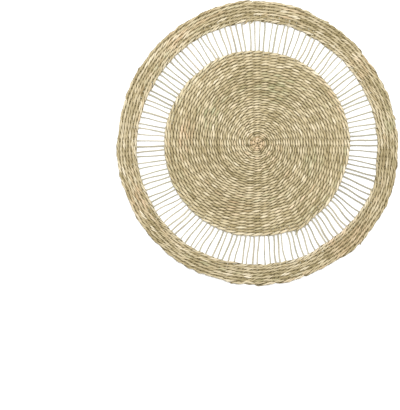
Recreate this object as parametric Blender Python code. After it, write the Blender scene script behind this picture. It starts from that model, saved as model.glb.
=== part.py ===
# Round seagrass placemat, lying flat: a twined centre, an openwork band of bare
# radial stakes, and a twined rim. Metres, +Z up, underside on z = 0, origin at the
# middle of the mat's box.
import math

import bmesh
import bpy

# Driving dimensions
RIM_OUTER_RADIUS = 0.1893
RIM_INNER_RADIUS = 0.1622
CENTRE_RADIUS = 0.1247
THICKNESS = 0.0055
ROW_PITCH = 0.0039       # one twined row, measured along a radius
EDGE_ROUNDING = 0.0012   # chamfer where an edge row turns down
PIECE_GAP = 0.0003

# The bare stakes of the openwork band
STAKE_COUNT = 128
STAKE_DIAMETER = 0.0017
STAKE_SIDES = 6
STAKE_BITE = 0.0020      # how far a stake runs into the row at each end
INNER_SWAY = 0.20        # sideways wander of the inner ends, in stake spacings
OUTER_SWAY = 0.26        # the same at the outer ends
INNER_BEAT = 2.1         # how quickly the wander changes from one stake to the next
OUTER_BEAT = 1.3

# Every round outline has as many straight sides as there are stakes, and each side
# is centred on the mean place of one stake.
STAKE_PITCH = 2 * math.pi / STAKE_COUNT

# The hand-made outlines bulge and dip a little: (bearing in degrees, height, spread
# in degrees) of each soft bump, measured from +X towards +Y.
RIM_OUTER_BUMPS = (
    (94, 0.0028, 24),
    (35, -0.0033, 26),
    (135, -0.0012, 16),
    (166, -0.0024, 14),
    (225, 0.0012, 34),
    (265, 0.0008, 12),
    (326, 0.0033, 26),
)
RIM_INNER_BUMPS = (
    (26, -0.0026, 24),
    (57, -0.0018, 10),
    (88, 0.0020, 15),
    (150, -0.0019, 20),
    (232, 0.0029, 26),
    (291, 0.0013, 8),
    (322, 0.0018, 16),
    (339, 0.0042, 8),
)
CENTRE_BUMPS = (
    (30, -0.0008, 16),
    (78, -0.0013, 16),
    (110, 0.0014, 12),
    (152, -0.0008, 8),
    (230, 0.0016, 34),
    (270, -0.0012, 10),
    (298, 0.0036, 7),
    (343, -0.0014, 9),
)
# Whole groups of stakes lean: (bearing in degrees, how many spacings the outer end
# lies anticlockwise of the inner one, spread in degrees).
STAKE_LEANS = (
    (36, 0.20, 26),
    (122, 0.34, 15),
    (157, -0.20, 10),
    (213, -0.32, 20),
    (250, -0.36, 22),
    (290, -0.50, 16),
    (320, -0.70, 13),
)


def with_bumps(value, bumps, angle):
    """A radius, or another even value, with its soft bumps at an angle in radians."""
    for bearing, height, spread in bumps:
        away = (math.degrees(angle) - bearing + 180) % 360 - 180
        value += height * math.exp(-((away / spread) ** 2))
    return value


def centre_edge(angle):
    return with_bumps(CENTRE_RADIUS, CENTRE_BUMPS, angle)


def rim_inner_edge(angle):
    return with_bumps(RIM_INNER_RADIUS, RIM_INNER_BUMPS, angle)


def rim_outer_edge(angle):
    return with_bumps(RIM_OUTER_RADIUS, RIM_OUTER_BUMPS, angle)


def polar(radius, angle, height):
    return (radius * math.cos(angle), radius * math.sin(angle), height)


def side_angles():
    """Angles of the outline's corners, half way between the stakes' mean places."""
    return [index * STAKE_PITCH for index in range(STAKE_COUNT)]


def stake_place(index, sway, beat):
    """Place of a stake's end, in spacings: even, with a slow and a quick wander."""
    wander = 0.6 * math.sin(beat * index) + 0.4 * math.sin(2.6 * beat * index + 1.0)
    return index + 0.5 + sway * wander


def inner_angle(index):
    return stake_place(index, INNER_SWAY, INNER_BEAT) * STAKE_PITCH


def outer_angle(index):
    lean = with_bumps(0.0, STAKE_LEANS, (index + 0.5) * STAKE_PITCH)
    return (stake_place(index, OUTER_SWAY, OUTER_BEAT) + lean) * STAKE_PITCH


def add_ring(mesh, inner_edge, outer_edge):
    """One closed flat ring of full thickness, its top edges chamfered."""
    rims = []
    for angle in side_angles():
        inner = inner_edge(angle)
        outer = outer_edge(angle)
        section = (
            (inner, 0.0),
            (outer, 0.0),
            (outer, THICKNESS - EDGE_ROUNDING),
            (outer - EDGE_ROUNDING, THICKNESS),
            (inner + EDGE_ROUNDING, THICKNESS),
            (inner, THICKNESS - EDGE_ROUNDING),
        )
        rims.append([mesh.verts.new(polar(radius, angle, z)) for radius, z in section])
    bridge_round(mesh, rims)


def bridge_round(mesh, rims):
    """Join each cross-section to the next, all the way round."""
    corners = len(rims[0])
    for here, there in zip(rims, rims[1:] + rims[:1]):
        for corner in range(corners):
            after = (corner + 1) % corners
            mesh.faces.new((here[corner], there[corner], there[after], here[after]))


def add_disc(mesh, edge):
    """One closed disc of full thickness, its top edge chamfered."""
    outlines = []
    for setback, height in ((0.0, 0.0), (0.0, THICKNESS - EDGE_ROUNDING), (EDGE_ROUNDING, THICKNESS)):
        outlines.append(
            [mesh.verts.new(polar(edge(angle) - setback, angle, height)) for angle in side_angles()]
        )
    for lower, upper in zip(outlines, outlines[1:]):
        for side in range(STAKE_COUNT):
            after = (side + 1) % STAKE_COUNT
            mesh.faces.new((lower[side], lower[after], upper[after], upper[side]))
    underside = mesh.faces.new(outlines[0])
    top = mesh.faces.new(outlines[-1])
    bmesh.ops.poke(mesh, faces=[underside, top])


def add_stake(mesh, start_angle, end_angle):
    """One straight stake from inside the centre's last row to inside the rim's first."""
    start = polar(centre_edge(start_angle) - STAKE_BITE, start_angle, THICKNESS / 2)
    end = polar(rim_inner_edge(end_angle) + STAKE_BITE, end_angle, THICKNESS / 2)
    run = (end[0] - start[0], end[1] - start[1])
    length = math.hypot(*run)
    across = (-run[1] / length, run[0] / length)
    rings = []
    for point in (start, end):
        ring = []
        for side in range(STAKE_SIDES):
            turn = 2 * math.pi * (side + 0.5) / STAKE_SIDES
            sideways = STAKE_DIAMETER / 2 * math.cos(turn)
            height = STAKE_DIAMETER / 2 * math.sin(turn)
            ring.append(
                mesh.verts.new(
                    (point[0] + across[0] * sideways, point[1] + across[1] * sideways, point[2] + height)
                )
            )
        rings.append(ring)
    first, last = rings
    for side in range(STAKE_SIDES):
        after = (side + 1) % STAKE_SIDES
        mesh.faces.new((first[side], first[after], last[after], last[side]))
    mesh.faces.new(first)
    mesh.faces.new(last)


def straw(name, colour, roughness):
    """A plain material in the colour of one sub-part."""
    material = bpy.data.materials.new(name)
    material.use_nodes = True
    shader = material.node_tree.nodes["Principled BSDF"]
    shader.inputs["Base Color"].default_value = (*colour, 1.0)
    shader.inputs["Roughness"].default_value = roughness
    shader.inputs["Metallic"].default_value = 0.0
    return material


def add_object(name, mesh, material, frame):
    """Turn a bmesh into an object that hangs on the mat's frame."""
    bmesh.ops.recalc_face_normals(mesh, faces=mesh.faces)
    data = bpy.data.meshes.new(name)
    mesh.to_mesh(data)
    mesh.free()
    data.materials.append(material)
    piece = bpy.data.objects.new(name, data)
    bpy.context.collection.objects.link(piece)
    piece.parent = frame
    return piece


def add_frame():
    """An empty that brings the middle of the uneven outline to the world's origin."""
    outline = [polar(rim_outer_edge(angle), angle, 0.0) for angle in side_angles()]
    frame = bpy.data.objects.new("mat_frame", None)
    frame.location = [-(max(axis) + min(axis)) / 2 for axis in zip(*outline)]
    bpy.context.collection.objects.link(frame)
    return frame


def add_woven_centre(frame):
    mesh = bmesh.new()
    add_disc(mesh, lambda angle: centre_edge(angle) - ROW_PITCH - PIECE_GAP)
    return add_object("woven_centre", mesh, straw("centre_straw", (0.50, 0.41, 0.23), 0.62), frame)


def add_openwork_band(frame):
    """The strip with the open slots: a row either side, and the bare stakes between."""
    rows = bmesh.new()
    add_ring(rows, lambda angle: centre_edge(angle) - ROW_PITCH, centre_edge)
    add_ring(rows, rim_inner_edge, lambda angle: rim_inner_edge(angle) + ROW_PITCH)
    band = add_object("openwork_band", rows, straw("stake_straw", (0.46, 0.41, 0.29), 0.58), frame)

    bars = bmesh.new()
    for index in range(STAKE_COUNT):
        add_stake(bars, inner_angle(index), outer_angle(index))
    stakes = add_object("stakes_to_join", bars, band.data.materials[0], frame)
    stakes.hide_render = True
    stakes.display_type = "WIRE"

    join = band.modifiers.new("join stakes", "BOOLEAN")
    join.operation = "UNION"
    join.solver = "EXACT"
    join.object = stakes
    return band


def add_woven_rim(frame):
    mesh = bmesh.new()
    add_ring(mesh, lambda angle: rim_inner_edge(angle) + ROW_PITCH + PIECE_GAP, rim_outer_edge)
    return add_object("woven_rim", mesh, straw("rim_straw", (0.48, 0.38, 0.21), 0.62), frame)


def main():
    for leftover in list(bpy.data.objects):
        bpy.data.objects.remove(leftover, do_unlink=True)
    frame = add_frame()
    add_woven_centre(frame)
    add_openwork_band(frame)
    add_woven_rim(frame)


main()
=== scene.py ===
import math
import random

import bpy
import numpy as np
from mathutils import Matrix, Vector, noise


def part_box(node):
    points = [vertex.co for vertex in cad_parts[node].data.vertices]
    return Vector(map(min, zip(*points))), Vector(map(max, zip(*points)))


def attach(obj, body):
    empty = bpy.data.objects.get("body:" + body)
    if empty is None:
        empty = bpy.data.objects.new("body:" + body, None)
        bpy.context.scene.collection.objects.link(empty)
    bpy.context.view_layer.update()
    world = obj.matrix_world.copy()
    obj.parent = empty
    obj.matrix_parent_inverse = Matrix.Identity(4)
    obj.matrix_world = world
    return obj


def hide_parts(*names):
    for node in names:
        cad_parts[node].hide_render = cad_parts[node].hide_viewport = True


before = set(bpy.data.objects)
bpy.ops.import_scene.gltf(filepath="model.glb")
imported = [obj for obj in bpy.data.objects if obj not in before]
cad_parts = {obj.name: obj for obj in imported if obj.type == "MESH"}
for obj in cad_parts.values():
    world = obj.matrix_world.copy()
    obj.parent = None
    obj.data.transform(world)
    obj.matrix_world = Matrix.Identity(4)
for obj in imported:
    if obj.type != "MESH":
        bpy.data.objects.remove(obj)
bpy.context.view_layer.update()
print("frame loaded:", sorted(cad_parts))

# The mat's outlines and the lean of its stakes, as in the woven solids: each soft bump
# is (bearing in degrees, height, spread in degrees), a lean's height is in spacings
mat = {
    "thickness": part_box("woven_centre")[1][2],
    "centreRadius": 0.1247,
    "rimInnerRadius": 0.1622,
    "rimOuterRadius": 0.1893,
    "centreBumps": ((30, -0.0008, 16), (78, -0.0013, 16), (110, 0.0014, 12), (152, -0.0008, 8),
                    (230, 0.0016, 34), (270, -0.0012, 10), (298, 0.0036, 7), (343, -0.0014, 9)),
    "rimInnerBumps": ((26, -0.0026, 24), (57, -0.0018, 10), (88, 0.0020, 15), (150, -0.0019, 20),
                      (232, 0.0029, 26), (291, 0.0013, 8), (322, 0.0018, 16), (339, 0.0042, 8)),
    "rimOuterBumps": ((94, 0.0028, 24), (35, -0.0033, 26), (135, -0.0012, 16), (166, -0.0024, 14),
                      (225, 0.0012, 34), (265, 0.0008, 12), (326, 0.0033, 26)),
    "stakeLeans": ((36, 0.20, 26), (122, 0.34, 15), (157, -0.20, 10), (213, -0.32, 20), (250, -0.36, 22),
                   (290, -0.50, 16), (320, -0.70, 13)),
}


def withBumps(value, bumps, angle):
    angle = np.asarray(angle, dtype=float)
    total = np.full(angle.shape, float(value))
    for bearing, height, spread in bumps:
        away = (np.degrees(angle) - bearing + 180) % 360 - 180
        total += height * np.exp(-((away / spread) ** 2))
    return total


def centreEdge(angle):
    return withBumps(mat["centreRadius"], mat["centreBumps"], angle)


def rimInnerEdge(angle):
    return withBumps(mat["rimInnerRadius"], mat["rimInnerBumps"], angle)


def rimOuterEdge(angle):
    return withBumps(mat["rimOuterRadius"], mat["rimOuterBumps"], angle)


def matShift():
    # moves the uneven outline so that the middle of its box is the origin
    angles = np.arange(128) * 2 * math.pi / 128
    radius = rimOuterEdge(angles)
    x = radius * np.cos(angles)
    y = radius * np.sin(angles)
    return np.array([-(x.max() + x.min()) / 2, -(y.max() + y.min()) / 2, 0.0])


shift = matShift()


class Socket:
    # an output socket that does maths: each operator adds a Math node
    def __init__(self, tree, out):
        self.tree = tree
        self.out = out

    def math(self, operation, other=None):
        return addNode(self.tree, "ShaderNodeMath", {"operation": operation}, {0: self, 1: other})

    def __add__(self, other):
        return self.math("ADD", other)

    def __radd__(self, other):
        return self.math("ADD", other)

    def __sub__(self, other):
        return self.math("SUBTRACT", other)

    def __rsub__(self, other):
        return addNode(self.tree, "ShaderNodeMath", {"operation": "SUBTRACT"}, {0: other, 1: self})

    def __mul__(self, other):
        return self.math("MULTIPLY", other)

    def __rmul__(self, other):
        return self.math("MULTIPLY", other)


def addNode(tree, kind, settings=None, inputs=None, output=0):
    node = tree.nodes.new(kind)
    for name, value in (settings or {}).items():
        if name == "stops":
            ramp = node.color_ramp
            while len(ramp.elements) < len(value):
                ramp.elements.new(0.5)
            for element, (place, colour) in zip(ramp.elements, value):
                element.position = place
                element.color = (*colour, 1.0)
        else:
            setattr(node, name, value)
    for name, value in (inputs or {}).items():
        if value is None:
            continue
        if isinstance(value, Socket):
            tree.links.new(value.out, node.inputs[name])
        else:
            node.inputs[name].default_value = value
    return Socket(tree, node.outputs[output])


def mixColour(tree, blend, factor, first, second):
    # sockets 6 and 7 are a Mix node's colours, output 2 its colour result
    return addNode(tree, "ShaderNodeMix", {"data_type": "RGBA", "blend_type": blend, "clamp_result": True},
                   {0: factor, 6: first, 7: second}, output=2)


def rgb(red, green, blue):
    return (red, green, blue, 1.0)


seagrass = {
    "stops": (  # dark to pale dry straw, linear colours
        (0.00, (0.165, 0.128, 0.055)),
        (0.28, (0.318, 0.257, 0.134)),
        (0.55, (0.508, 0.429, 0.270)),
        (0.80, (0.676, 0.596, 0.432)),
        (1.00, (0.810, 0.760, 0.630)),
    ),
    "green": rgb(0.320, 0.345, 0.190),
    "red": rgb(0.610, 0.415, 0.250),
    "grey": rgb(0.330, 0.318, 0.255),
    # painted shade: the dark brown that the shade in the crevices between strands is painted with
    "paintedShadeColour": rgb(0.060, 0.042, 0.008),
    # noise drawn out along a strand: along and round it, slant, seed offsets, detail, roughness
    "fibre": (55.0, 1.5, 20.0, (37.0, 11.0), 3.0, 0.6),
    "fine": (121.0, 9.0, 0.0, (17.0, 5.0), 2.0, 0.5),
    "toneShare": 0.72,
    "fibreContrast": 0.75,
    "fineContrast": 0.55,
    "tintShare": 0.8,
    # how far the painted shade darkens the straw towards that colour
    "paintedShadeShare": 0.90,
    "roughness": 0.58,
    "roughnessSpread": 0.35,
    "specular": 0.22,
    "bump": 0.45,
    "bumpDistance": 0.0006,
    "bumpShares": (0.7, 0.3),   # of the fibres and of the fine grain
}


def makeSeagrass(name, tone, greyness, values=seagrass):
    material = bpy.data.materials.new(name)
    material.use_nodes = True
    tree = material.node_tree
    shader = tree.nodes["Principled BSDF"]

    strand = addNode(tree, "ShaderNodeUVMap", {"uv_map": "strand"})
    parts = tree.nodes.new("ShaderNodeSeparateXYZ")
    tree.links.new(strand.out, parts.inputs[0])
    along, around = Socket(tree, parts.outputs[0]), Socket(tree, parts.outputs[1])

    def attribute(name):
        return addNode(tree, "ShaderNodeAttribute", {"attribute_name": name}, output=2)

    seedHere, tintHere = attribute("seed"), attribute("tint")
    turn = around * (2 * math.pi)

    def fibreNoise(stretch, girth, slant, seedShifts, detail, roughness):
        space = addNode(tree, "ShaderNodeCombineXYZ", {}, {
            0: along * stretch + seedHere * seedShifts[0],
            1: turn.math("COSINE") * girth + along * slant,
            2: turn.math("SINE") * girth + seedHere * seedShifts[1],
        })
        return addNode(tree, "ShaderNodeTexNoise", {}, {"Vector": space, "Scale": 1.0, "Detail": detail,
                                                        "Roughness": roughness})

    fibre, fine = fibreNoise(*values["fibre"]), fibreNoise(*values["fine"])
    streaks = (fibre - 0.5) * values["fibreContrast"] + (fine - 0.5) * values["fineContrast"]
    shade = attribute("tone") * values["toneShare"] + streaks + tone
    base = addNode(tree, "ShaderNodeValToRGB", {"stops": values["stops"]}, {0: shade})
    greenHere = (tintHere * -1.0).math("MAXIMUM", 0.0) * values["tintShare"]
    redHere = tintHere.math("MAXIMUM", 0.0) * values["tintShare"]
    greenish = mixColour(tree, "MIX", greenHere, base, values["green"])
    reddish = mixColour(tree, "MIX", redHere, greenish, values["red"])
    greyed = mixColour(tree, "MIX", greyness, reddish, values["grey"])
    # painted shade: mixes in the shade colour where the depth attribute is high, in crevices and under
    # crossings
    withPaintedShade = mixColour(tree, "MIX", attribute("depth") * values["paintedShadeShare"], greyed, values["paintedShadeColour"])
    tree.links.new(withPaintedShade.out, shader.inputs["Base Color"])

    roughness = (fine - 0.5) * values["roughnessSpread"] + values["roughness"]
    tree.links.new(roughness.out, shader.inputs["Roughness"])
    shader.inputs["Specular IOR Level"].default_value = values["specular"]
    fibreShare, fineShare = values["bumpShares"]
    bump = addNode(tree, "ShaderNodeBump", {}, {"Strength": values["bump"],
                                                "Distance": values["bumpDistance"],
                                                "Height": fibre * fibreShare + fine * fineShare})
    tree.links.new(bump.out, shader.inputs["Normal"])
    return material


weftStraw = makeSeagrass("weftStraw", 0.08, 0.0)
stakeStraw = makeSeagrass("stakeStraw", 0.02, 0.68)
print("materials made")


view = {
    "aim": (-0.0774, -0.0837),   # the mat lies up and to the right of the middle
    "fieldHeight": 0.5519,
    "lens": 100.0,
    "sensor": 36.0,
}


def addCamera(values=view):
    data = bpy.data.cameras.new("camera")
    data.lens = values["lens"]
    data.sensor_width = values["sensor"]
    distance = values["fieldHeight"] * values["lens"] / values["sensor"]
    camera = bpy.data.objects.new("camera", data)
    camera.location = (*values["aim"], distance)
    bpy.context.collection.objects.link(camera)
    bpy.context.scene.camera = camera


light = {
    "worldStrength": 0.78,
    "softboxes": (  # place, size, watts
        ((0.10, 0.25, 1.30), 0.80, 17.0),
        ((-0.95, 0.75, 0.80), 0.60, 7.0),
    ),
    "floorSize": 3.0,
    "floorLevel": -0.0002,
    "floorColour": rgb(0.93, 0.93, 0.93),
    "floorRoughness": 0.9,
    "floorSpecular": 0.1,
}


def addLight(values=light):
    world = bpy.data.worlds.new("studio")
    world.use_nodes = True
    background = world.node_tree.nodes["Background"]
    background.inputs["Color"].default_value = rgb(1.0, 1.0, 1.0)
    background.inputs["Strength"].default_value = values["worldStrength"]
    bpy.context.scene.world = world
    for index, (place, size, watts) in enumerate(values["softboxes"]):
        lamp = bpy.data.lights.new(f"softbox{index}", "AREA")
        lamp.shape = "DISK"
        lamp.size = size
        lamp.energy = watts
        holder = bpy.data.objects.new(f"softbox{index}", lamp)
        holder.location = place
        holder.rotation_euler = (-Vector(place)).to_track_quat("-Z", "Y").to_euler()
        bpy.context.collection.objects.link(holder)
    bpy.context.scene.view_settings.view_transform = "Standard"


def addFloor(values=light):
    bpy.ops.mesh.primitive_plane_add(size=values["floorSize"], location=(0, 0, values["floorLevel"]))
    floor = bpy.context.object
    floor.name = "floor"
    material = bpy.data.materials.new("paleFloor")
    material.use_nodes = True
    shader = material.node_tree.nodes["Principled BSDF"]
    shader.inputs["Base Color"].default_value = values["floorColour"]
    shader.inputs["Roughness"].default_value = values["floorRoughness"]
    shader.inputs["Specular IOR Level"].default_value = values["floorSpecular"]
    floor.data.materials.append(material)


addCamera()
addLight()
addFloor()
print("camera, light and floor made")


# Each twined row is two strands that swap places between one stake and the next.
weft = {
    "width": 0.0034,        # of one flattened strand in a row of full pitch
    "height": 0.0022,
    "corners": {"centre": 8, "rim": 12},   # round a strand
    "groove": {"centre": 0.0, "rim": 0.50},   # in a doubled strand, share of its height
    "grooveWidth": 0.30,    # share of the strand's width
    "stepsPerFloat": 8,
    "fullPitch": 0.0039,
    "sideways": 0.00095,    # how far a strand swings to each side of its row
    "rimSideways": 0.00065,
    "edgeSideways": 0.0012,  # in the rope-like rows beside the open band
    "flatness": 0.72,       # under 1, strands stay up longer over a stake
    # the first rows, over thick bundles, with painted shade of uneven strength in the creases between them
    "bundle": {"floats": 8, "flatness": 1.0, "creaseShades": (3.4, 1.2, 3.0, 1.8, 3.6, 1.4, 2.6, 2.0),
               "toneSpread": 0.15, "jitter": 0.22},
    "rimRows": 7,
    "rimFloats": 88,
    "rimRopeWidth": 0.0034,  # the first row beside the open band
    # each float's place across its row, and its width
    "unevenness": {"centre": 0.00022, "rim": 0.00050, "outside": 0.00075},
    "widthMiddle": {"centre": 1.00, "rim": 1.07},
    "widthSpread": {"centre": 0.10, "rim": 0.17},
    "widthSlow": 0.10,      # share by which a strand swells and thins slowly, and rush by rush
    "widthRush": 0.16,
    "widthLimits": (0.76, 1.26),
    "sink": 0.00016,        # how far some floats lie below the others
    "slowSway": 0.0002,
    "firstRadius": 0.0048,
    # within each radius: floats in a turn, and the distance between rows
    "zones": ((0.0150, 8, 0.0027), (0.026, 16, 0.0031), (0.044, 24, 0.0033), (0.060, 32, 0.0034),
              (0.076, 40, 0.0035), (0.092, 48, 0.0036), (0.200, 64, 0.0039)),
    "toneSpread": {"centre": 0.085, "rim": 0.125},   # from float to float
    "middleTone": {"centre": 0.555, "rim": 0.655},
    "warpJitter": {"centre": 0.12, "rim": 0.14},     # shared by a zone's rows, in floats
    "rowJitter": {"centre": 0.08, "rim": 0.20},      # of one row alone
    "rowDrift": {"centre": 0.18, "rim": 0.50},       # slow wander of a row's floats
    "wave": {"centre": 0.0007, "rim": 0.0012},       # neighbouring rows bend together
    # how quickly these change round a row
    "beats": {"drift": 2.2, "slow": 3, "rush": 9, "wave": 4.5},
}


def centreRows(values=weft):
    # from the centre's edge inwards, so that its outermost row has its full width
    rows = []
    radius = mat["centreRadius"]
    halfRow = values["fullPitch"] / 2
    while True:
        floats, pitch = next(zone[1:] for zone in values["zones"] if radius - halfRow < zone[0])
        middle = radius - pitch / 2
        if middle < values["firstRadius"]:
            return rows
        share = (middle / mat["centreRadius"]) ** 2
        rows.append({
            "part": "centre", "floats": floats, "pitch": pitch, "middle": middle,
            "sideways": values["edgeSideways"] if not rows else values["sideways"],
            "edge": not rows, "unevenness": values["unevenness"]["centre"],
            "radius": lambda angle, middle=middle, share=share:
                middle + (centreEdge(angle) - mat["centreRadius"]) * share,
        })
        radius -= pitch


def rimRows(values=weft):
    rows = []
    width = mat["rimOuterRadius"] - mat["rimInnerRadius"]
    pitches = [values["rimRopeWidth"]]
    pitches += [(width - values["rimRopeWidth"]) / (values["rimRows"] - 1)] * (values["rimRows"] - 1)
    reach = 0.0
    for index, pitch in enumerate(pitches):
        across = (reach + pitch / 2) / width
        reach += pitch
        rows.append({
            "part": "rim", "floats": values["rimFloats"], "pitch": pitch,
            "middle": mat["rimInnerRadius"] + across * width,
            "sideways": values["edgeSideways"] if index == 0 else values["rimSideways"],
            "edge": index == 0,
            "unevenness": values["unevenness"]["outside" if index == values["rimRows"] - 1 else "rim"],
            "radius": lambda angle, across=across:
                rimInnerEdge(angle) * (1 - across) + rimOuterEdge(angle) * across,
        })
    return rows


def slowNoise(x, y, z):
    return noise.noise(Vector((x, y, z)))


def warpPlaces(floats, jitter, chance):
    # the stakes' places in one zone, a little uneven, in floats
    places = np.arange(floats) + np.array([chance.uniform(-jitter, jitter) for _ in range(floats)])
    return np.append(places, places[0] + floats)


def giveWarps(rows, values=weft):
    chance = random.Random(7)
    beat = values["beats"]["drift"]
    shared = {}
    for order, row in enumerate(rows):
        floats, part = row["floats"], row["part"]
        if (floats, part) not in shared:
            shared[floats, part] = warpPlaces(floats, values["warpJitter"][part], chance)
            if floats == values["bundle"]["floats"]:   # thick bundles lie less evenly
                shared[floats, part] = warpPlaces(floats, values["bundle"]["jitter"], chance)
        own = warpPlaces(floats, values["rowJitter"][part], random.Random(400 + order))
        places = shared[floats, part] + own - np.arange(floats + 1)
        bearing = places * 2 * math.pi / floats
        drift = [slowNoise(math.cos(a) * beat + order * 1.9, math.sin(a) * beat, 3.0) for a in bearing]
        places = places + values["rowDrift"][part] * np.array(drift)
        places[-1] = places[0] + floats
        row["warps"] = places * 2 * math.pi / floats
        row["order"] = order
    return shared


def ringLengths(points):
    return np.concatenate([[0], np.cumsum(np.linalg.norm(np.diff(points, axis=0), axis=1))])


def placePoints(radius, angle, height):
    return np.column_stack([radius * np.cos(angle), radius * np.sin(angle),
                            height * np.ones(len(radius))]) + shift


def openPath(points, order, wide, tone, tint, depth, tilt=0.0):
    # a strand with two ends: single numbers hold all along it
    even = np.ones(len(points))
    return {"points": points, "length": ringLengths(points), "closed": False, "order": order,
            "wide": wide * even, "tone": tone * even, "tint": tint * even, "depth": depth * even,
            "tilt": tilt * even}


def strandPoints(row, side, values=weft):
    # side is 0 for the strand that is on top at even stakes and 1 for its partner
    order, floats, part = row["order"], row["floats"], row["part"]
    chance = random.Random(1000 * order + side)
    steps = values["stepsPerFloat"]
    s = np.arange(floats * steps) / steps
    wholes = np.arange(floats + 1)
    angle = np.interp(s, wholes, row["warps"])
    scale = row["pitch"] / values["fullPitch"]
    sign = 1 if side == 0 else -1

    def perFloat(middle, spread):
        each = [chance.gauss(middle, spread) for _ in range(floats)]
        return np.interp(s, wholes, np.array(each + each[:1]))

    push = perFloat(0, row["unevenness"])
    thick = perFloat(values["widthMiddle"][part], values["widthSpread"][part])
    sink = np.abs(perFloat(0, values["sink"]))
    around = np.stack([np.cos(angle), np.sin(angle)], 1)

    def roundRow(name, offset, level):
        beat = values["beats"][name]
        return np.array([slowNoise(x * beat + offset, y * beat, level) for x, y in around])

    slow = roundRow("slow", order, side * 5.0)
    rush = roundRow("rush", order * 1.3, side * 3.0 + 20)
    wave = roundRow("wave", 0.0, row["middle"] * 60)
    swell = 1 + values["widthSlow"] * slow + values["widthRush"] * rush
    wide = np.clip(thick * swell, *values["widthLimits"]) * scale

    bundle = values["bundle"] if floats == values["bundle"]["floats"] else {}
    # painted shade for each float of the first rows, in the creases between the bundles
    creaseShade = np.array(bundle.get("creaseShades", [1.0] * floats))[np.floor(s).astype(int) % floats]
    climb = np.cos(math.pi * s)
    climb = np.sign(climb) * np.abs(climb) ** bundle.get("flatness", values["flatness"])
    rise = mat["thickness"] / 2 - values["height"] / 2 * wide - sink
    outward = -sign * row["sideways"] * scale * np.sin(math.pi * s) + push + values["slowSway"] * slow
    outward += values["wave"][part] * wave
    radius = row["radius"](angle) + outward
    height = mat["thickness"] / 2 + sign * rise * climb
    points = placePoints(radius, angle, height)
    return {
        "points": points, "length": ringLengths(points), "closed": True, "woven": True,
        "tilt": -math.pi * s, "wide": wide, "depth": creaseShade,
        "floats": floats, "nearest": np.round(s).astype(int) % floats,
        "order": order * 2 + side, "chance": chance, "edge": row["edge"],
        "middleTone": values["middleTone"][part],
        "toneSpread": bundle.get("toneSpread", values["toneSpread"][part]),
    }


# tinted patches: bearing in degrees, radius, spread, how red (+) or green (-)
patches = (
    (36, 0.186, 0.020, 0.6), (-52, 0.170, 0.020, 0.5), (-42, 0.176, 0.014, 0.4), (205, 0.178, 0.022, 0.4),
    (128, 0.178, 0.016, 0.5), (8, 0.178, 0.016, -0.4), (75, 0.180, 0.014, 0.4), (172, 0.100, 0.018, 0.5),
    (70, 0.080, 0.020, -0.5), (150, 0.070, 0.016, -0.5), (-20, 0.075, 0.018, -0.45), (250, 0.095, 0.02, 0.35),
    (0, 0.0, 0.016, 0.75), (100, 0.180, 0.012, -0.4), (165, 0.176, 0.012, -0.35), (315, 0.060, 0.014, 0.3),
)


def patchTint(point):
    total = 0.0
    for bearing, radius, spread, strength in patches:
        a = math.radians(bearing)
        away = (point[0] - radius * math.cos(a)) ** 2 + (point[1] - radius * math.sin(a)) ** 2
        total += strength * math.exp(-away / spread ** 2)
    return total


colouring = {
    "rush": 0.34,        # change of tone along one rush, which runs for about 10 cm
    "area": 0.15,        # over whole patches of the mat
    "outwards": 0.6,     # the outer rows are a little darker, for each metre from the middle
    "edge": 0.18,        # the rows beside the open band are lighter
    "mood": 0.85,        # change of tint along a rush
    "leastTint": 0.25,   # weaker tints don't show
    "beats": {"rush": 9.0, "area": 22, "mood": 7.0},   # for each metre
    # painted shade: how quickly the shade painted in the middle of the weave fades towards the outer faces
    "paintedShadeSlope": 1.35,
    "paintedShadeCurve": 1.5,
}


def colourStrand(path, values=colouring):
    # tone and tint at each ring of a strand
    chance, order, length, beats = path["chance"], path["order"], path["length"], values["beats"]
    floatTone = np.array([chance.gauss(0, path["toneSpread"]) for _ in range(path["floats"])])
    tone = path["middleTone"] + floatTone[path["nearest"]]
    tint = np.empty(len(length))
    for index, (point, reach) in enumerate(zip(path["points"], length)):
        tone[index] += values["rush"] * slowNoise(reach * beats["rush"], order * 3.7, 0.3)
        tone[index] += values["area"] * slowNoise(point[0] * beats["area"], point[1] * beats["area"], 7.1)
        tone[index] -= values["outwards"] * math.hypot(point[0], point[1])
        mood = slowNoise(reach * beats["mood"] + 40, order * 5.1, 2.2)
        tint[index] = values["mood"] * mood + patchTint(point)
    path["tone"] = np.clip(tone + (values["edge"] if path["edge"] else 0.0), 0, 1)
    shown = np.maximum(np.abs(tint) - values["leastTint"], 0)
    path["tint"] = np.clip(np.sign(tint) * shown, -1, 1)


def grooveShare(corners):
    # how much of the groove each corner of a section gets: all of it in the middle of both faces
    turns = 2 * np.pi * np.arange(corners) / corners
    return np.exp(-((np.cos(turns) / weft["grooveWidth"]) ** 2))


def sectionCurve(width, height, corners, groove):
    data = bpy.data.curves.new("section", "CURVE")
    data.dimensions = "2D"
    spline = data.splines.new("POLY")
    spline.points.add(corners - 1)
    for index in range(corners):
        turn = -2 * math.pi * index / corners   # clockwise, so that the faces look outwards
        side = height / 2 * (1 - groove * grooveShare(corners)[index])
        spline.points[index].co = (width / 2 * math.cos(turn), side * math.sin(turn), 0, 1)
    spline.use_cyclic_u = True
    section = bpy.data.objects.new("section", data)
    bpy.context.collection.objects.link(section)
    return section


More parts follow.
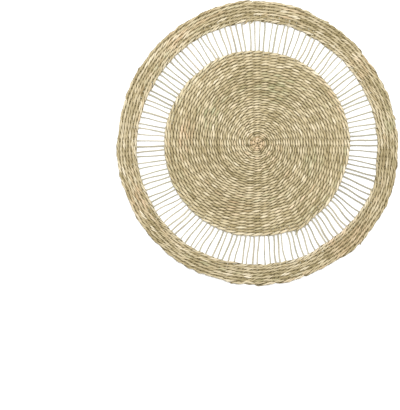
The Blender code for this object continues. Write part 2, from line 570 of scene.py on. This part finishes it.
def layStrands(name, paths, width, height, corners, material, groove=0.0):
    section = sectionCurve(width, height, corners, groove)
    data = bpy.data.curves.new(name, "CURVE")
    data.dimensions = "3D"
    data.twist_mode = "Z_UP"
    data.bevel_mode = "OBJECT"
    data.bevel_object = section
    data.use_fill_caps = True
    for path in paths:
        spline = data.splines.new("POLY")
        count = len(path["points"])
        spline.points.add(count - 1)
        spline.points.foreach_set("co", np.column_stack([path["points"], np.ones(count)]).ravel())
        spline.points.foreach_set("tilt", path["tilt"])
        spline.points.foreach_set("radius", path["wide"])
        spline.use_cyclic_u = path["closed"]
    holder = bpy.data.objects.new(name + "Line", data)
    bpy.context.collection.objects.link(holder)
    graph = bpy.context.evaluated_depsgraph_get()
    mesh = bpy.data.meshes.new_from_object(holder.evaluated_get(graph))
    bpy.data.objects.remove(holder)
    bpy.data.objects.remove(section)
    mesh.name = name
    piece = bpy.data.objects.new(name, mesh)
    bpy.context.collection.objects.link(piece)
    mesh.materials.clear()
    mesh.materials.append(material)
    mesh.polygons.foreach_set("use_smooth", np.ones(len(mesh.polygons), dtype=bool))
    paintStrands(mesh, paths, corners, groove)
    mapStrands(mesh, paths, corners)
    print(name, len(mesh.polygons), "faces")
    return piece


def paintStrands(mesh, paths, corners, groove, values=colouring):
    places = np.empty(len(mesh.vertices) * 3)
    mesh.vertices.foreach_get("co", places)
    # painted shade mask: high near the mat's middle plane, where the crossing strands shade each other
    away = np.abs(places[2::3] / mat["thickness"] * 2 - 1)
    shadeNearMiddle = np.clip(1 - values["paintedShadeSlope"] * away, 0, 1) ** values["paintedShadeCurve"]
    for name in ("tone", "tint", "depth", "seed"):
        layer = mesh.attributes.new(name, "FLOAT", "POINT")
        painted = np.zeros(len(mesh.vertices))
        start = 0
        for path in paths:
            count = len(path["points"])
            if name == "seed":
                rings = np.full(count, (path["order"] * 0.377) % 1.0)
            else:
                rings = path[name]
            each = np.repeat(rings, corners)
            if name == "depth" and path.get("woven"):
                # painted shade: dark where a strand passes through the middle of the weave, light on both
                # outer faces
                each = each * shadeNearMiddle[start:start + count * corners]
                # painted shade along the groove of a doubled strand, as a dark line
                each = np.clip(each + groove * np.tile(grooveShare(corners), count), 0, 1)
            painted[start:start + count * corners] = each
            start += count * corners
        layer.data.foreach_set("value", painted)


# The strands unrolled into strips that lie in rows, for baking
strips = {
    "girth": math.pi * 0.0027,
    "filled": 0.9,     # share of the square
    "endRoom": 1.03,
    "start": 0.005,
    "gap": 0.06,       # on each side of a strip, in strips
}


def stripRows(lengths, values=strips):
    # cuts long strands into strips as wide as the square, and gives each ring its row and the row's start
    total = sum(line[-1] for line in lengths)
    wrap = math.sqrt(total * values["girth"] / values["filled"])
    starts, rows, rowCount = [], [], 0
    for line in lengths:
        pieces = max(1, math.ceil(line[-1] / wrap))
        which = np.minimum((line / line[-1] * pieces).astype(int), pieces - 1)
        rows.append(which + rowCount)
        starts.append(which * line[-1] / pieces)
        rowCount += pieces
    return wrap, rowCount, np.concatenate(rows), np.concatenate(starts)


def mapStrands(mesh, paths, corners):
    # two maps: metres along and turns around each strand, and the strips
    vertexCount = len(mesh.vertices)
    ring = np.zeros(vertexCount, dtype=int)
    spot = np.zeros(vertexCount, dtype=int)
    owner = np.full(vertexCount, -1)
    start = 0
    for index, path in enumerate(paths):
        count = len(path["points"])
        size = count * corners
        ring[start:start + size] = np.arange(size) // corners
        spot[start:start + size] = np.arange(size) % corners
        owner[start:start + size] = index
        start += size
    loops = np.empty(len(mesh.loops), dtype=int)
    mesh.loops.foreach_get("vertex_index", loops)
    starts = np.empty(len(mesh.polygons), dtype=int)
    totals = np.empty(len(mesh.polygons), dtype=int)
    mesh.polygons.foreach_get("loop_start", starts)
    mesh.polygons.foreach_get("loop_total", totals)
    faceOf = np.repeat(np.arange(len(starts)), totals)

    loopRing = ring[loops].astype(float)
    loopSpot = spot[loops].astype(float)
    loopOwner = owner[loops]
    faceLowRing = np.minimum.reduceat(loopRing, starts)
    faceHighRing = np.maximum.reduceat(loopRing, starts)
    faceHighSpot = np.maximum.reduceat(loopSpot, starts)
    faceLowSpot = np.minimum.reduceat(loopSpot, starts)
    # faces over a seam take the first ring or corner as the one after the last
    overRing = (faceHighRing - faceLowRing > 1.5)[faceOf]
    overSpot = ((faceHighSpot - faceLowSpot > 1.5) & (totals == 4))[faceOf]
    counts = np.array([len(path["points"]) for path in paths])
    loopRing = np.where(overRing & (loopRing == 0), counts[loopOwner], loopRing)
    loopSpot = np.where(overSpot & (loopSpot == 0), corners, loopSpot)
    faceRing = np.minimum.reduceat(loopRing, starts)[faceOf].astype(int)

    lengths = []
    for path in paths:
        lap = np.linalg.norm(path["points"][0] - path["points"][-1])
        lengths.append(np.append(path["length"], path["length"][-1] + lap))
    offsets = np.concatenate([[0], np.cumsum([len(line) for line in lengths])])[:-1]
    joined = np.concatenate(lengths)
    along = joined[offsets[loopOwner] + loopRing.astype(int)]
    strandMap = mesh.uv_layers[0] if mesh.uv_layers else mesh.uv_layers.new()
    strandMap.name = "strand"
    strandMap.data.foreach_set("uv", np.column_stack([along, loopSpot / corners]).astype(np.float32).ravel())

    wrap, rowCount, rowOf, beginning = stripRows(lengths)
    place = offsets[loopOwner] + faceRing
    u = (along - beginning[place]) / (wrap * strips["endRoom"]) + strips["start"]
    v = (rowOf[place] + strips["gap"] + loopSpot / corners * (1 - 2 * strips["gap"])) / rowCount
    bakeMap = mesh.uv_layers.new(name="OFBake")
    bakeMap.data.foreach_set("uv", np.column_stack([u, v]).astype(np.float32).ravel())
    mesh.uv_layers.active = bakeMap


def makeWeft():
    centre, rim = centreRows(), rimRows()
    shared = giveWarps(centre + rim)
    made = {}
    for label, rows in (("centre", centre), ("rim", rim)):
        for side, suffix in ((0, "A"), (1, "B")):
            paths = [strandPoints(row, side) for row in rows]
            for path in paths:
                colourStrand(path)
            made[label + suffix] = layStrands(label + "Weft" + suffix, paths, weft["width"], weft["height"],
                                              weft["corners"][label], weftStraw, weft["groove"][label])
    return made, shared


weftPieces, sharedWarps = makeWeft()
print("weft laid")


# The stakes: bare in the open band, flattened where the rows cover them
stakes = {
    "count": 128,
    "diameter": 0.0019,
    "corners": 8,
    "innerSway": 0.20,   # as in the band's solid
    "outerSway": 0.26,
    "innerBeat": 2.1,
    "outerBeat": 1.3,
    "rings": 17,
    "bow": 0.0006,
    "sway": 0.4,         # share of the bow that a stake bends into an S by chance
    "leanBend": 0.0011,   # how far a lean of one spacing bends a stake into an S
    "bite": 0.0020,
    "intoMiddle": 0.003,
    "intoCentre": 0.006,
    "intoRim": 0.006,
    "coveredCorners": 6,
    "coveredRings": 6,
    "coveredWidth": 0.0030,
    "coveredHeight": 0.0006,
    "coveredUnderFloat": 3,
    "coveredShare": 1.25,   # of the spacing, taken up by the stakes under each float
    "coveredOverlap": 0.0012,
    # low tones and painted shade darken the covered stakes, where they lie in the shade under the rows
    "coveredTones": (0.1, 0.4),
    "coveredShade": 0.6,
    "edgeMargin": 0.0013,
    "lift": 0.0004,
    "widthRange": (0.78, 1.18),
    "unevenWidth": 0.12,
    "beats": {"width": 70, "tone": 60},   # for each metre
    "tone": (0.50, 0.26),     # middle and spread from stake to stake
    "tint": (-0.05, 0.25),
    "unevenTone": 0.15,
}


def stakePlace(index, sway, beat):
    wander = 0.6 * math.sin(beat * index) + 0.4 * math.sin(2.6 * beat * index + 1.0)
    return index + 0.5 + sway * wander


def stakePath(index, values=stakes):
    chance = random.Random(5000 + index)
    spacing = 2 * math.pi / values["count"]
    lean = float(withBumps(0.0, mat["stakeLeans"], (index + 0.5) * spacing))
    startAngle = stakePlace(index, values["innerSway"], values["innerBeat"]) * spacing
    endAngle = (stakePlace(index, values["outerSway"], values["outerBeat"]) + lean) * spacing
    start = float(centreEdge(startAngle)) - values["bite"]
    end = float(rimInnerEdge(endAngle)) + values["bite"]
    first = start * np.array([math.cos(startAngle), math.sin(startAngle)])
    last = end * np.array([math.cos(endAngle), math.sin(endAngle)])
    span = np.linalg.norm(last - first)
    run = (last - first) / span
    across = np.array([-run[1], run[0]])
    bare = np.linspace(0, span, values["rings"])
    distance = np.concatenate([[-values["intoCentre"]], bare, [span + values["intoRim"]]])
    t = np.clip(distance / span, 0, 1)
    # a leaning stake leaves both rows squarely, so it lies in a soft S
    side = chance.gauss(0, 1) * values["bow"] * np.sin(math.pi * t)
    bend = chance.gauss(0, values["sway"]) * values["bow"] - lean * values["leanBend"]
    side = side + bend * np.sin(2 * math.pi * t)
    flat = first + run * distance[:, None] + across * side[:, None]
    height = mat["thickness"] / 2 + values["lift"] * np.sin(math.pi * t) * chance.uniform(-1, 1)
    points = np.column_stack([flat, height]) + shift
    uneven = np.array([slowNoise(d * values["beats"]["width"], index * 1.7, 9.0) for d in distance])
    wide = chance.uniform(*values["widthRange"]) * (1 + values["unevenWidth"] * uneven)
    patchy = np.array([slowNoise(d * values["beats"]["tone"], index * 3.1, 1.0) for d in distance])
    tone = chance.gauss(*values["tone"]) + values["unevenTone"] * patchy
    tint = np.clip(chance.gauss(*values["tint"]), -0.6, 0.5)
    return openPath(points, 300 + index, wide, np.clip(tone, 0, 1), tint, 0.0)


def coveredPaths(shared, values=stakes):
    # straight runs under the rows, from the inside to the outside of each zone
    together = values["coveredUnderFloat"]
    inner = weft["firstRadius"] - values["intoMiddle"]
    zones = []
    for limit, floats, _ in weft["zones"]:
        outer = min(limit, mat["centreRadius"])
        zones.append(("centre", floats, inner, outer))
        inner = outer
    zones.append(("rim", weft["rimFloats"], mat["rimInnerRadius"], mat["rimOuterRadius"]))
    paths = []
    for part, floats, low, high in zones:
        for index, place in enumerate(shared[floats, part][:-1]):
            angle = place * 2 * math.pi / floats
            inside, outside = low - values["coveredOverlap"], high + values["coveredOverlap"]
            if part == "rim":
                inside = float(rimInnerEdge(angle)) + values["edgeMargin"]
                outside = float(rimOuterEdge(angle)) - values["edgeMargin"]
            elif high == mat["centreRadius"]:
                outside = float(centreEdge(angle)) - values["edgeMargin"]
            radius = np.linspace(inside, outside, values["coveredRings"])
            each = radius * 2 * math.pi / floats * values["coveredShare"] / together   # width of one
            for number in range(together):
                chance = random.Random(7000 + 1000 * floats + together * index + number)
                turn = angle + (number - (together - 1) / 2) * each / radius
                points = placePoints(radius, turn, mat["thickness"] / 2)
                # the low tones and the painted shade darken these stakes under the rows
                paths.append(openPath(points, 700 + together * index + number,
                                      each / values["coveredWidth"],
                                      chance.uniform(*values["coveredTones"]), 0.0, values["coveredShade"]))
    return paths


stakePaths = [stakePath(index) for index in range(stakes["count"])]
bareStakes = layStrands("bareStakes", stakePaths, stakes["diameter"], stakes["diameter"], stakes["corners"],
                        stakeStraw)
coveredStakes = layStrands("coveredStakes", coveredPaths(sharedWarps), stakes["coveredWidth"],
                           stakes["coveredHeight"], stakes["coveredCorners"], weftStraw)
print("stakes laid")

# The star in the middle, where the first stakes cross: bundles that fan out under the
# first rows, on the top and again on the underside
star = {
    "arms": 8,
    "strandsInArm": 3,
    "strandWidth": 0.0033,
    "strandHeight": 0.0018,
    "reach": 0.0110,
    "fill": (0.74, 0.92),   # share of the turn that the bundles take up, above and below
    "hole": (0.0014, 0.0002),
    # the lower bundles have lower tones: painted shade for the gaps between the top arms
    "tones": ((0.20, 0.70), (0.05, 0.30)),
    "tint": (0.20, 0.60),
    "corners": 8,
    "rings": 22,
    "armLift": (-0.0004, 0.0003),
    "armFill": (0.84, 1.10),
    "armFan": (0.009, 0.013),   # radius at which an arm is fully fanned out
    "tightness": 0.55,          # share of its fan that it has at the middle
    "ripple": 0.03,
    "overlap": 1.25,
    "leastWidth": (0.28, 0.53),
    "widthRange": (0.92, 1.06),
    "base": 0.0009,             # height over the mat's middle plane
    "dome": (0.0009, 0.006),    # rise at the middle, and its radius
    "sunk": (0.0012, 0.007, 0.006),   # drop under the rows, where it starts and how long it takes
    # painted shade: a dark spot at the hub, and more on the whole lower layer
    "hubShade": (0.45, 0.0022),
    "lowerShade": 0.3,
}


def starPaths(warps, values=star):
    # the top bundles lie along the first zone's stakes, the lower ones between them
    paths = []
    wedge = 2 * math.pi / values["arms"]
    together = values["strandsInArm"]
    rise, riseRadius = values["dome"]
    drop, dropStart, dropLength = values["sunk"]
    hub, hubRadius = values["hubShade"]
    for layer, sign in ((0, 1), (1, -1)):
        radius = np.linspace(values["hole"][layer], values["reach"], values["rings"])
        dome = rise * np.exp(-((radius / riseRadius) ** 2))
        sunk = drop * np.clip((radius - dropStart) / dropLength, 0, 1)
        # painted shade at the hub and on the lower layer
        depth = hub * np.exp(-((radius / hubRadius) ** 2)) + values["lowerShade"] * layer
        for arm in range(values["arms"]):
            armChance = random.Random(9000 + 100 * layer + arm)
            bearing = (warps[arm] + 0.5 * layer) * wedge
            armLift = armChance.uniform(*values["armLift"])
            armFill = values["fill"][layer] * armChance.uniform(*values["armFill"])
            fanned = np.clip(radius / armChance.uniform(*values["armFan"]), 0, 1) ** 1.5
            spread = armFill * (values["tightness"] + (1 - values["tightness"]) * fanned)
            for strand in range(together):
                chance = random.Random(9200 + 100 * layer + 10 * arm + strand)
                place = (strand - (together - 1) / 2) / together
                ripple = values["ripple"] * np.sin(radius * 500 + strand + arm)
                wide = radius * wedge * spread / together / values["strandWidth"] * values["overlap"]
                wide = np.clip(wide, values["leastWidth"][layer], 1.0) * chance.uniform(*values["widthRange"])
                height = mat["thickness"] / 2 + sign * (values["base"] + dome - sunk + armLift)
                points = placePoints(radius, bearing + place * wedge * spread + ripple, height)
                paths.append(openPath(points, 500 + 30 * layer + 3 * arm + strand, wide,
                                      chance.uniform(*values["tones"][layer]),
                                      chance.uniform(*values["tint"]), depth))
    return paths


starStakes = layStrands("starStakes", starPaths(sharedWarps[star["arms"], "centre"]), star["strandWidth"],
                        star["strandHeight"], star["corners"], weftStraw)
print("star laid")

# Strand ends that stick out of the rows where a strand was joined or tucked away
looseEnds = {
    "width": 0.0019,
    "height": 0.0011,
    "corners": 6,
    "rings": 9,
    "rootDepth": 0.0018,   # how far inside the edge an end starts
    "hidden": 0.003,       # length that stays among the rows
    "lift": 0.0009,
    "taper": 0.6,          # share of the width lost at the tip
    "tipTilt": 0.6,
    "shade": 0.3,          # painted shade on ends that have less tone than darkUnder
    "darkUnder": 0.1,
    "ends": (  # bearing in degrees, edge, length, turn outwards in degrees, tone, tint
        (297.0, "centre", 0.0085, 32, 0.02, 0.10),
        (295.5, "centre", 0.0050, 62, 0.20, -0.20),
        (94.5, "rimInner", 0.0060, -155, 0.02, 0.00),
        (92.0, "rimInner", 0.0040, -140, 0.15, -0.30),
        (336.0, "rimInner", 0.0055, -160, 0.30, 0.20),
        (118.0, "centre", 0.0042, 25, 0.10, -0.10),
        (62.0, "rimOuter", 0.0060, 14, 0.75, 0.00),
        (12.0, "rimOuter", 0.0050, 20, 0.60, 0.20),
        (262.0, "rimOuter", 0.0060, 16, 0.70, 0.10),
        (318.0, "rimOuter", 0.0055, 22, 0.25, 0.30),
        (150.0, "rimOuter", 0.0045, 18, 0.55, -0.10),
    ),
}


def loosePaths(values=looseEnds):
    edges = {"centre": centreEdge, "rimInner": rimInnerEdge, "rimOuter": rimOuterEdge}
    inward = {"centre": -1, "rimInner": 1, "rimOuter": -1}
    paths = []
    for index, (bearing, edge, length, turn, tone, tint) in enumerate(values["ends"]):
        angle = math.radians(bearing)
        radius = float(edges[edge](angle)) + values["rootDepth"] * inward[edge]
        start = radius * np.array([math.cos(angle), math.sin(angle)])
        t = np.linspace(0, 1, values["rings"])
        # strands run clockwise, so an end points that way and a little off the edge
        heading = angle - math.pi / 2 + math.radians(turn) * (0.75 + 0.5 * t)
        step = (length + values["hidden"]) / (len(t) - 1)
        flat = start + np.cumsum(np.stack([np.cos(heading), np.sin(heading)], 1) * step, axis=0)
        height = mat["thickness"] / 2 + values["lift"] * (1 - t)
        points = np.column_stack([flat, height]) + shift
        # painted shade on the darkest ends
        shade = values["shade"] if tone < values["darkUnder"] else 0.0
        paths.append(openPath(points, 900 + index, 1.0 - values["taper"] * t ** 2, tone, tint, shade,
                              values["tipTilt"] * t))
    return paths


strandEnds = layStrands("strandEnds", loosePaths(), looseEnds["width"], looseEnds["height"],
                        looseEnds["corners"], weftStraw)
print("loose ends laid")

for piece in list(weftPieces.values()) + [bareStakes, coveredStakes, starStakes, strandEnds]:
    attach(piece, "root")
for label, node in (("centre", "woven_centre"), ("rim", "woven_rim")):
    for suffix in "AB":
        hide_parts(node)
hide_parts("openwork_band")
